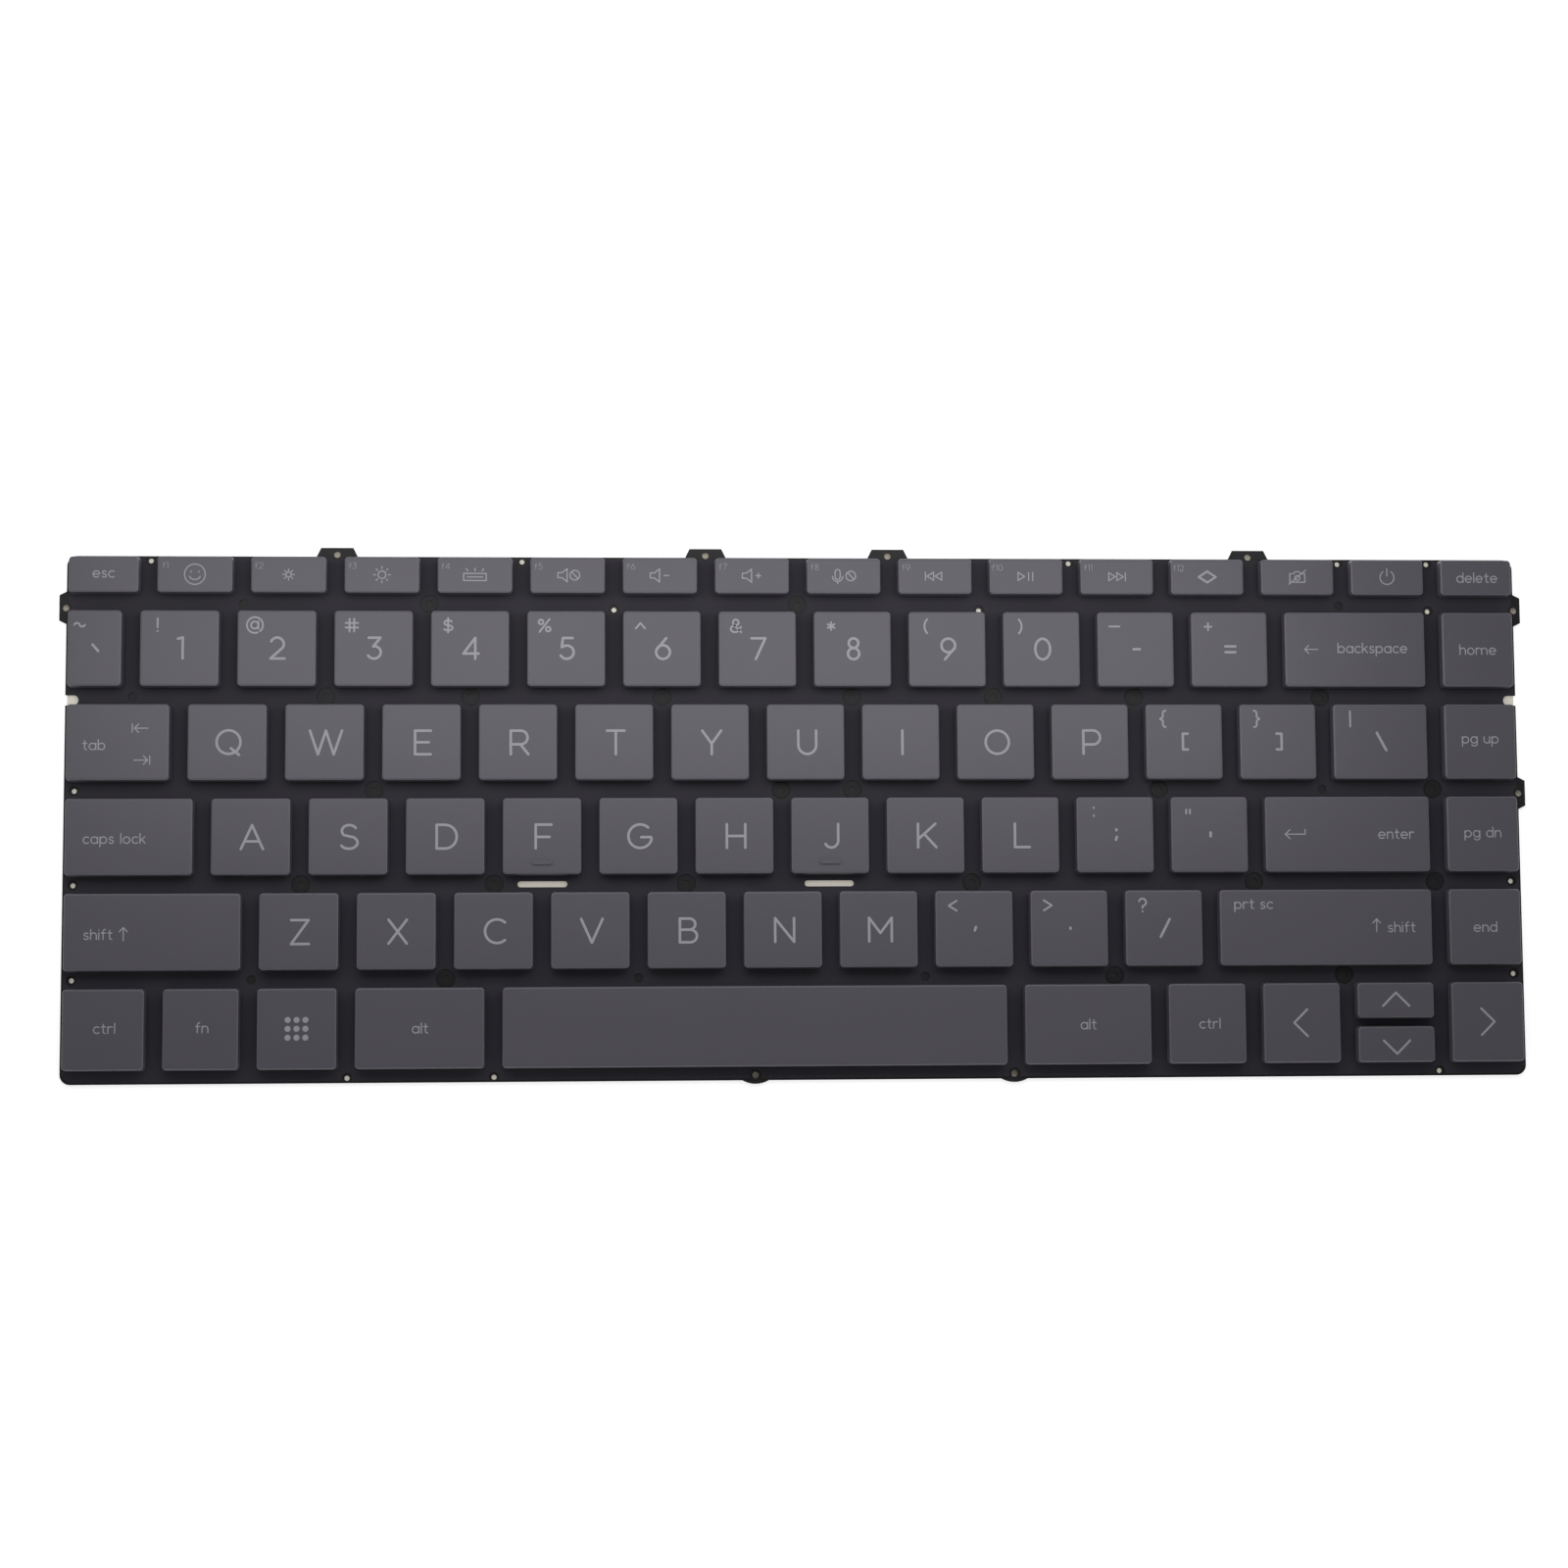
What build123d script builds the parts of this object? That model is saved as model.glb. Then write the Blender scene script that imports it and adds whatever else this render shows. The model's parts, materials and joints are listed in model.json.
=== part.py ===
from build123d import *
import math
import os
from dataclasses import dataclass

# A laptop's replacement keyboard, lying on its back. X runs along the key rows, Y goes from the
# space bar towards the function row, and Z goes up through the key tops. The origin is on the
# table, under the middle of the outline. A key sits on a rubber dome, and a pair of scissor
# levers keeps it level. All sizes are in millimetres.

# Key field: a span is the room a key takes up in its row, half a gap on each side included
key_pitch = 18.7
row_pitch = 18.35
key_gap = 3.6
grave_span = 13.85
backspace_span = 31.65
last_column_span = 17.8
escape_span = 17.0
control_span = 19.05
fn_span = 17.95
alt_span = 28.3
function_row_span = 10.55
bottom_row_span = 19.0
arrow_gap = 1.75
upper_letter_step = 0.5
home_letter_step = 0.75
lower_letter_step = 1.25

# Layers, from the table up
backlight_thickness = 0.6
plate_thickness = 0.4
membrane_thickness = 0.3
key_travel = 1.3
travel_clearance = 0.2

# Caps
cap_height = 2.0
cap_roof = 0.9
cap_wall = 0.9
cap_corner = 0.9
cap_rim = 0.35
cap_flare = 0.2
homing_bar_length = 4.0
homing_bar_width = 0.8
homing_bar_height = 0.4
homing_bar_inset = 2.2

# Steel wires that keep the long keys level
wire_radius = 0.35
wire_foot = 1.6
wire_bend = 0.8
wire_clearance = 0.08

# Scissor levers: the room is what they leave free inside the skirt, for a wire, less where a cap is small
lever_thickness = 0.6
lever_bar = 0.8
lever_room = 2 * (wire_radius + wire_clearance)
tight_lever_room = 0.18
lever_clearance = 0.06
lever_sink = 0.15
pivot_pin_radius = 0.25
pivot_boss_radius = 0.6
pivot_clearance = 0.05
clip_width = 4.0
clip_thickness = 0.6
clip_depth = 0.8

# Rubber domes, as wide as the levers around them allow
dome_radius = 3.2
dome_room = 0.2
dome_crown_share = 0.53
dome_wall = 0.35
dome_foot = 0.3
dome_clearance = 0.05

# Plate outline, its ears and its holes
plate_corner = 2.0
overhang_left = 1.0
overhang_right = 1.4
overhang_back = 0.7
overhang_front = 2.8
back_ear_width = 8.0
back_ear_tip = 6.3
back_ear_reach = 1.75
side_ear_width = 6.4
side_ear_tip = 5.0
side_ear_reach = 1.4
front_ear_width = 5.2
front_ear_reach = 0.7
ear_hole_radius = 0.65
back_hole_outset = 0.4
side_hole_outset = 0.1
front_hole_inset = 1.0
side_ear_drop = 0.8
vent_radius = 0.5
vent_edge_inset = 0.95
vent_side_inset = 2.0
vent_row_drop = 1.0
notch_width = 2.0
notch_depth = 2.6
notch_drop = 0.6
light_slot_length = 9.7
light_slot_width = 1.2
stake_radius = 1.5
stake_eye_radius = 0.7
stake_height = 0.2
stake_window_radius = 1.9
pin_hole_radius = 0.9
tail_slot_length = 26.0
tail_slot_width = 2.0

# Edges of the films, measured in from the plate's edge
membrane_inset = 0.4
membrane_hole_clearance = 0.5
backlight_inset = 0.3
backlight_hole_clearance = 0.2

# Levels
plate_bottom = backlight_thickness
plate_top = plate_bottom + plate_thickness
membrane_top = plate_top + membrane_thickness
skirt_bottom = membrane_top + key_travel + travel_clearance
cap_top = skirt_bottom + cap_height
roof_bottom = cap_top - cap_roof

# Places: the origin is the middle of the outline, ears included
field_width = grave_span + 12 * key_pitch + backspace_span + last_column_span
field_depth = function_row_span + 4 * row_pitch + bottom_row_span
plate_width = field_width - key_gap + overhang_left + overhang_right
plate_depth = field_depth - key_gap + overhang_front + overhang_back
plate_left = -plate_width / 2
plate_right = plate_width / 2
plate_front = front_ear_reach - (plate_depth + front_ear_reach + back_ear_reach) / 2
plate_back = plate_front + plate_depth
plate_middle = (plate_front + plate_back) / 2
field_left = plate_left + overhang_left - key_gap / 2
field_right = field_left + field_width
field_front = plate_front + overhang_front - key_gap / 2
low_cap_depth = (bottom_row_span - key_gap - arrow_gap) / 2
letter_cap = min(key_pitch, row_pitch) - key_gap


@dataclass
class Key:
    """The patch of the key field that one key takes up, half a gap included on every side."""

    left: float
    right: float
    front: float
    back: float

    @property
    def middle(self):
        return Vector((self.left + self.right) / 2, (self.front + self.back) / 2)

    @property
    def cap_width(self):
        return self.right - self.left - key_gap

    @property
    def cap_depth(self):
        return self.back - self.front - key_gap

    @property
    def is_low(self):
        return self.cap_depth < letter_cap - cap_wall

    @property
    def lever_width(self):
        return room_for_levers(self.cap_width)

    @property
    def lever_length(self):
        return room_for_levers(self.cap_depth) - lever_bar

    @property
    def dome_radius(self):
        opening = min(inner_width(self.lever_width) - 2 * lever_bar, self.lever_length - lever_bar)
        return min(dome_radius, opening / 2 - dome_room)


def room_for_levers(across):
    """How far levers reach inside a cap: as far as in a letter's cap, or less in a smaller one."""
    return min(letter_cap - 2 * lever_room, across - 2 * tight_lever_room) - 2 * cap_wall


def lay_row(front, depth, names, spans):
    """Keys side by side from the left edge of the field to its last column, which ends the row."""
    row = {}
    left = field_left
    for name, span in zip(names, spans + [last_column_span]):
        row[name] = Key(left, left + span, front, front + depth)
        left += span
    return row


def fill(spans):
    """What is left of a row for one key once the other keys and the last column have their room."""
    return field_width - last_column_span - sum(spans)


def lay_keys():
    """Every row of keys, from the function row down to the space bar, by row name."""
    fronts = [field_front]
    for depth in [bottom_row_span] + 4 * [row_pitch]:
        fronts.append(fronts[-1] + depth)
    bottom, lower, home, upper, number, function = fronts

    names = ["escape"] + [f"f{n}" for n in range(1, 13)] + ["camera", "power", "delete"]
    even_span = fill([escape_span]) / 14
    rows = {"function": lay_row(function, function_row_span, names, [escape_span] + 14 * [even_span])}

    names = ["grave"] + [f"digit_{n}" for n in "1234567890"] + ["minus", "equals", "backspace", "home"]
    rows["number"] = lay_row(number, row_pitch, names, [grave_span] + 12 * [key_pitch] + [backspace_span])

    names = ["tab"] + list("qwertyuiop") + ["left_bracket", "right_bracket", "backslash", "page_up"]
    spans = [grave_span + upper_letter_step * key_pitch] + 12 * [key_pitch]
    rows["upper"] = lay_row(upper, row_pitch, names, spans + [fill(spans)])

    names = ["caps_lock"] + list("asdfghjkl") + ["semicolon", "apostrophe", "enter", "page_down"]
    spans = [grave_span + home_letter_step * key_pitch] + 11 * [key_pitch]
    rows["home"] = lay_row(home, row_pitch, names, spans + [fill(spans)])

    names = ["left_shift"] + list("zxcvbnm") + ["comma", "period", "slash", "right_shift", "end"]
    spans = [grave_span + lower_letter_step * key_pitch] + 10 * [key_pitch]
    rows["lower"] = lay_row(lower, row_pitch, names, spans + [fill(spans)])

    names = ["left_control", "fn", "system", "left_alt", "space", "right_alt", "right_control"]
    names += ["arrow_left", "arrow_up", "arrow_right"]
    left_spans = [control_span, fn_span, key_pitch, alt_span]
    right_spans = [alt_span] + 3 * [key_pitch]
    spans = left_spans + [fill(left_spans + right_spans)] + right_spans
    rows["bottom"] = lay_row(bottom, bottom_row_span, names, spans)
    split_arrow_keys(rows["bottom"])
    return rows


def split_arrow_keys(row):
    """Two half-height keys, up over down, share one place in the bottom row."""
    both = row["arrow_up"]
    depth = low_cap_depth + key_gap
    row["arrow_up"] = Key(both.left, both.right, both.back - depth, both.back)
    row["arrow_down"] = Key(both.left, both.right, both.front, both.front + depth)


rows = lay_keys()
keys = {name: key for row in rows.values() for name, key in row.items()}
fixed_names = list(rows["function"]) + list(rows["number"])
moving_names = [name for name in keys if name not in fixed_names]


def lever_pivot_tilt(length, low, high):
    """The tilt, in degrees, at which a flat lever reaches from level low to level high."""
    arm = (length + lever_bar) / 2
    half = lever_thickness / 2
    lean = math.asin((high - low) / 2 / math.hypot(arm, half)) - math.atan2(half, arm)
    return math.degrees(lean)


def lever_frame(width, length):
    """A flat rectangular frame of bars, in the middle of its thickness at level 0."""
    outside = RectangleRounded(width, length + lever_bar, lever_bar / 2)
    inside = Rectangle(width - 2 * lever_bar, length - lever_bar)
    return extrude(outside - inside, lever_thickness / 2, both=True)


def side_to_side(radius, width, reach):
    """Two short cylinders along X that reach in from both ends of a width."""
    across = Rot(0, 90, 0) * Cylinder(radius, reach)
    return [Pos(side * (width - reach) / 2, 0, 0) * across for side in (-1, 1)]


def inner_width(width):
    """The width of the inner lever that fits inside an outer one."""
    return width - 2 * lever_bar - 2 * lever_clearance


def scissor(key, low, high):
    """The outer and the inner lever of one key, crossed between levels low and high."""
    width, length = key.lever_width, key.lever_length
    tilt = lever_pivot_tilt(length, low, high)
    pivot = Pos(0, 0, (low + high) / 2)
    outer = lever_frame(width, length) + side_to_side(pivot_boss_radius, width, lever_bar)
    outer -= side_to_side(pivot_pin_radius + pivot_clearance, width, lever_bar)
    pins = side_to_side(pivot_pin_radius, width - lever_bar / 2, lever_bar + lever_clearance)
    inner = lever_frame(inner_width(width), length) + pins
    return [pivot * Rot(tilt, 0, 0) * outer, pivot * Rot(-tilt, 0, 0) * inner]


def once_per_size(names, make):
    """What make returns for each named key, made once for every size of cap."""
    patterns = {}
    made = {}
    for name in names:
        key = keys[name]
        size = round(key.cap_width, 4), round(key.cap_depth, 4)
        if size not in patterns:
            patterns[size] = make(key)
        made[name] = patterns[size]
    return made


def trapezoid_ear(width, tip, reach, root):
    """An ear that stands out along +Y from a straight edge at level 0, rooted behind it."""
    outline = Polyline(
        (-width / 2, -root),
        (width / 2, -root),
        (width / 2, 0),
        (tip / 2, reach),
        (-tip / 2, reach),
        (-width / 2, 0),
        close=True,
    )
    return make_face(outline)


def back_ear_places():
    """Ears stand at the gaps between function keys."""
    return [rows["function"][name].right for name in ("f2", "f6", "f8", "f12")]


def front_ear_places():
    """One ear stands under the middle of the space bar and one at its right end."""
    space = keys["space"]
    return [space.middle.X, space.right]


def side_ear_places():
    """Edge, way out and height of each side ear."""
    top = keys["digit_1"].back - side_ear_drop
    lower = keys["a"].back - side_ear_drop
    return [(plate_left, -1, top), (plate_right, 1, top), (plate_right, 1, lower)]


def ear_holes():
    """The middle of every fixing hole in the ears."""
    places = [(x, plate_back + back_hole_outset) for x in back_ear_places()]
    places += [(x, plate_front + front_hole_inset) for x in front_ear_places()]
    places += [(edge + way * side_hole_outset, y) for edge, way, y in side_ear_places()]
    return places


def edge_vents():
    """Small holes along the plate's edges, at the ends of keys or rows."""
    back = plate_back - vent_edge_inset
    front = plate_front + vent_edge_inset
    places = [(keys[name].right, back) for name in ("escape", "f4", "f10", "camera", "power")]
    places += [(keys[name].right, front) for name in ("system", "left_alt", "arrow_up")]
    places += [(plate_left + vent_side_inset, keys[name].front) for name in ("tab", "caps_lock", "left_shift")]
    places += [(plate_right - vent_side_inset, keys[name].front) for name in ("page_down", "end")]
    return places


def row_vents():
    """Small holes in the gap between the function row and the number row."""
    y = keys["digit_1"].back - vent_row_drop
    return [(keys[name].right, y) for name in ("f5", "f9", "power")]


def stake_places():
    """Round windows in the membrane, each at the right end of a key and above or below it."""
    above = ("e", "t", "u", "p", "right_bracket", "h", "semicolon", "arrow_left")
    below = ("f3", "f7", "digit_2", "digit_9", "w", "u", "backslash", "a", "d", "g", "k")
    below += ("apostrophe", "enter", "x", "period")
    places = [(keys[name].right, keys[name].back) for name in above]
    return places + [(keys[name].right, keys[name].front) for name in below]


def pin_places():
    """Small locating holes in the membrane, each at the right end of a key and below it."""
    names = ("f1", "camera", "grave", "right_bracket", "left_shift", "v", "m")
    return [(keys[name].right, keys[name].front) for name in names]


def light_slot_places():
    """Slots that let the backlight through, under the two homing keys."""
    return [(keys[name].middle.X, keys[name].front) for name in ("f", "j")]


def discs(places, radius):
    return [Pos(x, y) * Circle(radius) for x, y in places]


def slots(places, length, width):
    return [Pos(x, y) * SlotOverall(length, width) for x, y in places]


def edge_notches():
    """Round-bottomed notches at both ends of the gap below the number row."""
    y = keys["digit_1"].front - notch_drop
    return slots([(plate_left, y), (plate_right, y)], 2 * notch_depth, notch_width)


def plate_outline():
    """The plate's sheet, with its ears and without its edge notches."""
    sheet = Pos(0, plate_middle) * RectangleRounded(plate_width, plate_depth, plate_corner)
    back_ear = trapezoid_ear(back_ear_width, back_ear_tip, back_ear_reach, plate_corner)
    sheet += [Pos(x, plate_back) * back_ear for x in back_ear_places()]
    side_ear = trapezoid_ear(side_ear_width, side_ear_tip, side_ear_reach, plate_corner)
    sheet += [Pos(edge, y) * Rot(0, 0, -90 * way) * side_ear for edge, way, y in side_ear_places()]
    front_ear_radius = (front_ear_width**2 / 4 + front_ear_reach**2) / (2 * front_ear_reach)
    front_ear_middle = plate_front - front_ear_reach + front_ear_radius
    sheet += [Pos(x, front_ear_middle) * Circle(front_ear_radius) for x in front_ear_places()]
    return sheet - edge_notches()


def tail_slot():
    """The slit that the membrane's flat tail leaves by, hidden under the home row."""
    return [Pos(keys["g"].right, keys["g"].middle.Y) * SlotOverall(tail_slot_length, tail_slot_width)]


def base_plate():
    """A black stamped steel sheet with ears, holes and hollow stakes."""
    cuts = discs(ear_holes(), ear_hole_radius) + discs(edge_vents() + row_vents(), vent_radius)
    cuts += slots(light_slot_places(), light_slot_length, light_slot_width) + tail_slot()
    sheet = Pos(0, 0, plate_bottom) * extrude(plate_outline() - cuts, plate_thickness)
    rings = Sketch() + discs(stake_places(), stake_radius) - discs(stake_places(), stake_eye_radius)
    stakes = Pos(0, 0, plate_bottom) * extrude(rings, plate_thickness + stake_height)
    return sheet.fuse(*stakes.solids())


def membrane():
    """The black switch film on the plate, with windows for stakes, holes and light slots."""
    wide = plate_width - 2 * membrane_inset
    deep = plate_depth - 2 * membrane_inset
    sheet = Pos(0, plate_middle) * RectangleRounded(wide, deep, plate_corner)
    cuts = edge_notches() + discs(stake_places(), stake_window_radius)
    cuts += discs(pin_places(), pin_hole_radius)
    cuts += discs(ear_holes(), ear_hole_radius + membrane_hole_clearance)
    cuts += discs(edge_vents() + row_vents(), vent_radius + membrane_hole_clearance)
    cuts += slots(light_slot_places(), light_slot_length, light_slot_width)
    return Pos(0, 0, plate_top) * extrude(sheet - cuts, membrane_thickness)


def backlight_panel():
    """The light guide and its black backing film, one laminate under the plate."""
    wide = plate_width - 2 * backlight_inset
    deep = plate_depth - 2 * backlight_inset
    sheet = Pos(0, plate_middle) * RectangleRounded(wide, deep, plate_corner)
    sheet -= discs(ear_holes(), ear_hole_radius + backlight_hole_clearance) + tail_slot()
    return extrude(sheet, backlight_thickness)


def dome(key):
    """A rubber dome with a flat foot, a sloping wall and a crown just under the cap's roof."""
    radius = key.dome_radius
    crown_radius = dome_crown_share * radius
    foot_top = membrane_top + dome_foot
    crown_top = roof_bottom - dome_clearance
    crown_bottom = crown_top - 2 * dome_wall
    shoulder = radius - dome_wall
    outline = Polyline(
        (0, crown_bottom),
        (crown_radius - dome_wall, crown_bottom),
        (shoulder - dome_wall, foot_top),
        (shoulder - dome_wall, membrane_top),
        (radius, membrane_top),
        (radius, foot_top),
        (shoulder, foot_top),
        (crown_radius, crown_bottom),
        (crown_radius, crown_top),
        (0, crown_top),
        close=True,
    )
    return revolve(Plane.XZ * make_face(outline), Axis.Z)


def rubber_domes():
    """One dome under the middle of every key."""
    return [Pos(keys[name].middle) * shape for name, shape in once_per_size(keys, dome).items()]


def free_scissor(key):
    """The lever pair of a moving key, clear of the membrane and of the cap's roof."""
    return scissor(key, membrane_top + lever_clearance, roof_bottom - lever_clearance)


def scissor_levers():
    """The lever pairs of the keys that move by themselves."""
    pairs = once_per_size(moving_names, free_scissor)
    return [Pos(keys[name].middle) * lever for name, pair in pairs.items() for lever in pair]


def stabilizer_bar(key):
    """A bent steel wire: its long run lies under the back of the cap, its feet on the membrane."""
    back = key.cap_depth / 2 - cap_wall - wire_radius - wire_clearance
    half = key.cap_width / 2 - cap_wall - wire_radius - wire_clearance
    low = membrane_top + wire_radius + wire_clearance
    high = roof_bottom - wire_radius - wire_clearance
    leg = 2 * back
    path = FilletPolyline(
        (wire_foot - half, -leg),
        (-half, -leg),
        (-half, 0),
        (half, 0),
        (half, -leg),
        (half - wire_foot, -leg),
        radius=wire_bend,
    )
    tilt = math.degrees(math.asin((high - low) / leg))
    start = Plane(origin=path @ 0, z_dir=path % 0)
    wire = sweep(start * Circle(wire_radius), path)
    return Pos(key.middle.X, key.middle.Y + back, high) * Rot(tilt, 0, 0) * wire


def stabilizer_bars():
    return [stabilizer_bar(keys[name]) for name in ("enter", "left_shift", "right_shift", "space")]


def cap(key):
    """A hollow cap with a flared skirt, a rounded rim and clips for the levers under its roof."""
    base = RectangleRounded(key.cap_width + 2 * cap_flare, key.cap_depth + 2 * cap_flare, cap_corner)
    shell = extrude(base, cap_height, taper=math.degrees(math.atan2(cap_flare, cap_height)))
    shell = fillet(shell.faces().sort_by(Axis.Z)[-1].edges(), cap_rim)
    inside = Rectangle(key.cap_width - 2 * cap_wall, key.cap_depth - 2 * cap_wall)
    shell -= extrude(inside, cap_height - cap_roof)
    if not key.is_low:
        reach = key.lever_length / 2 - lever_bar - clip_thickness
        bar = Box(clip_width, clip_thickness, clip_depth, align=(Align.CENTER, Align.CENTER, Align.MAX))
        shell += [Pos(0, way * reach, cap_height - cap_roof) * bar for way in (-1, 1)]
    return Pos(0, 0, skirt_bottom) * shell


def homing_bar(key):
    """The raised bar that a finger finds on the two homing keys."""
    y = homing_bar_inset - key.cap_depth / 2
    return Pos(0, y, cap_top) * extrude(SlotOverall(homing_bar_length, homing_bar_width), homing_bar_height)


def moving_caps():
    """The caps of the keys that move by themselves, with homing bars on two of them."""
    caps = {name: Pos(keys[name].middle) * shape for name, shape in once_per_size(moving_names, cap).items()}
    for name in ("f", "j"):
        caps[name] += Pos(keys[name].middle) * homing_bar(keys[name])
    return caps


def fixed_key(key):
    """A cap in one piece with the levers that carry it."""
    return cap(key).fuse(*scissor(key, membrane_top + lever_clearance, roof_bottom + lever_sink))


def upper_row_keys():
    """The keys of the two upper rows."""
    return [Pos(keys[name].middle) * shape for name, shape in once_per_size(fixed_names, fixed_key).items()]


def solids_of(shapes):
    """One flat group of solids, whatever the shapes were made from."""
    return Compound([solid for shape in shapes for solid in shape.solids()])


def main():
    os.makedirs("parts", exist_ok=True)
    nodes = {
        "backlight_panel": [backlight_panel()],
        "base_plate": [base_plate()],
        "membrane": [membrane()],
        "rubber_domes": rubber_domes(),
        "scissor_levers": scissor_levers(),
        "stabilizer_bars": stabilizer_bars(),
        "upper_row_keys": upper_row_keys(),
    }
    for name, shape in moving_caps().items():
        nodes[f"key_{name}"] = [shape]
    for name, shapes in nodes.items():
        export_step(solids_of(shapes), f"parts/{name}.step")


main()
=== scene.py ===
import json
import math

import bmesh
import bpy
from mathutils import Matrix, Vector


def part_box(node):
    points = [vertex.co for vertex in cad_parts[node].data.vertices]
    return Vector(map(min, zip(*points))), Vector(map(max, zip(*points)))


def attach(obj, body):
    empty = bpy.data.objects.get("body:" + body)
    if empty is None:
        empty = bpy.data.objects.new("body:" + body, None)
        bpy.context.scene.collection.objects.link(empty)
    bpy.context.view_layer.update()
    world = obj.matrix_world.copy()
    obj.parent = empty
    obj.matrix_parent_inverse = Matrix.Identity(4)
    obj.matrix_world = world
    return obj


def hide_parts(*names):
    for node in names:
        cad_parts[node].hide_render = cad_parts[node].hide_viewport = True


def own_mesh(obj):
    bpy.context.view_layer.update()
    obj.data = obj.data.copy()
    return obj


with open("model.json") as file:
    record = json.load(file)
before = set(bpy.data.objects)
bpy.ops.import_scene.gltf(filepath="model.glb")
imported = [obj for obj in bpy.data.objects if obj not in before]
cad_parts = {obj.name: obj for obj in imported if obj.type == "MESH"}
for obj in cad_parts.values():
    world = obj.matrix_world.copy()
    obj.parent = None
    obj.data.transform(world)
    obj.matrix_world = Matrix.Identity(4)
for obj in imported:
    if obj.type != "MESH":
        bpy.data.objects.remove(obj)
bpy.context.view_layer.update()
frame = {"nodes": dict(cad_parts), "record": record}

# The looks of a laptop's replacement keyboard: finishes, key legends, and the domes, levers and wires
# split up key by key. Lengths are in millimetres.
MM = 0.001

# Legends: heights of the capitals, digits, shifted signs, words and corner numbers
LETTER_HEIGHT = 4.6
DIGIT_HEIGHT = 4.1
SHIFTED_HEIGHT = 2.5
WORD_HEIGHT = 1.9
CORNER_HEIGHT = 1.15
LETTER_STROKE = 0.5
SHIFTED_STROKE = 0.36
WORD_STROKE = 0.22
CORNER_STROKE = 0.08
LETTER_SPACE = 0.24
WORD_SPACE = 0.5
MARK_RISE = 0.02
MARK_SINK = 0.01
STROKE_STEP = 0.002
RING_CLOSE = 0.002
DOT_LENGTH = 0.01
ARC_STEP = 15
SHARP_TURN = 50
SHIFTED_INSET = 3.55
SHIFTED_INSET_SHARE = 0.23
SHIFTED_LIFT = 4.5
LETTER_PLACE = (0.3, -0.1)
DIGIT_PLACE = (0.2, 0.0)
CORNER_PLACE = (-5.7, 1.75)

# Reading the frame: points closer than this in metres are one, rows lie further apart than the
# slack, and an edge that turns by fewer degrees than this is smooth
WELD_DISTANCE = 1e-7
ROW_SLACK = 1
SMOOTH_TURN = 30

# How far up a normal points where the painted highlight on a cap's rim starts and where it is full, from the
# top and from the wall
RIM_FROM_TOP = (0.99, 0.8)
RIM_FROM_WALL = (0.2, 0.4)

# The light guide is cream down to this depth, and black film below it
GUIDE_SKIN = 0.05

# Colours
CAP_GREY = "5e5c65"
# Painted highlight: the lighter grey of the caps' rounded rims stands in for the light they catch
CAP_RIM_HIGHLIGHT_GREY = "727079"
LEGEND_GREY = "aeaeb6"
FILM_BLACK = "403e45"
PLATE_BLACK = "222225"
STAKE_BLACK = "1d1c20"
GUIDE_CREAM = "e8e2d6"
BACKING_BLACK = "2c2c30"
LEVER_BLACK = "222226"
DOME_MILK = "c4c4c0"
WIRE_STEEL = "a8a8a6"
SWEEP_WHITE = "f4f4f4"
# Painted shade: the card under the ear holes stands in for the shaded floor seen through them
HOLE_SHADE_CREAM = "e6dccb"

# Stage, light and camera, in metres, watts and degrees, the lens and its sensor in millimetres
FLOOR_RADIUS = 2.5
COVE_RADIUS = 0.5
WALL_HEIGHT = 1.5
FLOOR_DROP = 0.0001
SWEEP_GLOW = 0.71
CARD_RADIUS = 0.0012
SKY_STRENGTH = 0.32
LAMP_SIZE = (0.3, 0.08)
LAMP_PLACE = (-0.018, 0.052, 0.125)
LAMP_POWER = 0.127
CAMERA_PLACE = (-0.03679, -0.04594, 0.57579)
CAMERA_TURN = (5.174, -3.292, -0.375)
LENS_LENGTH = 67.5
SENSOR_WIDTH = 36

cap_names = sorted(name for name in frame["nodes"] if name.startswith("key_"))
cap_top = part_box("key_g")[1].z / MM
film_bottom, film_top = [corner.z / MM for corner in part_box("membrane")]
stake_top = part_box("base_plate")[1].z / MM
guide_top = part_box("backlight_panel")[1].z / MM


def linear(colour):
    """The linear colour of an sRGB hex colour."""
    shares = [int(colour[i:i + 2], 16) / 255 for i in (0, 2, 4)]
    return tuple(c / 12.92 if c <= 0.04045 else ((c + 0.055) / 1.055) ** 2.4 for c in shares) + (1.0,)


def add(tree, kind, inputs, **settings):
    """One more node in the tree, with its settings, and with its inputs set or linked."""
    made = tree.nodes.new(kind)
    for name, value in settings.items():
        setattr(made, name, value)
    for name, value in inputs.items():
        if isinstance(value, bpy.types.NodeSocket):
            tree.links.new(value, made.inputs[name])
        else:
            made.inputs[name].default_value = value
    return made


def new_material(name):
    """An empty material and its node tree."""
    material = bpy.data.materials.new(name)
    material.use_nodes = True
    material.node_tree.nodes.clear()
    return material, material.node_tree


def close(tree, **inputs):
    """The shader and the output that end a material."""
    names = {name.replace("_", " "): value for name, value in inputs.items()}
    shader = add(tree, "ShaderNodeBsdfPrincipled", names)
    add(tree, "ShaderNodeOutputMaterial", {"Surface": shader.outputs["BSDF"]})


def grain(tree, size, depth):
    """The normal of a surface with a grain of that size and depth, in millimetres."""
    place = add(tree, "ShaderNodeTexCoord", {}).outputs["Object"]
    noise = add(tree, "ShaderNodeTexNoise", {"Vector": place, "Scale": 1 / (size * MM), "Detail": 3.0})
    bump = add(tree, "ShaderNodeBump", {"Height": noise.outputs["Fac"], "Distance": depth * MM})
    return bump.outputs["Normal"]


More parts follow.
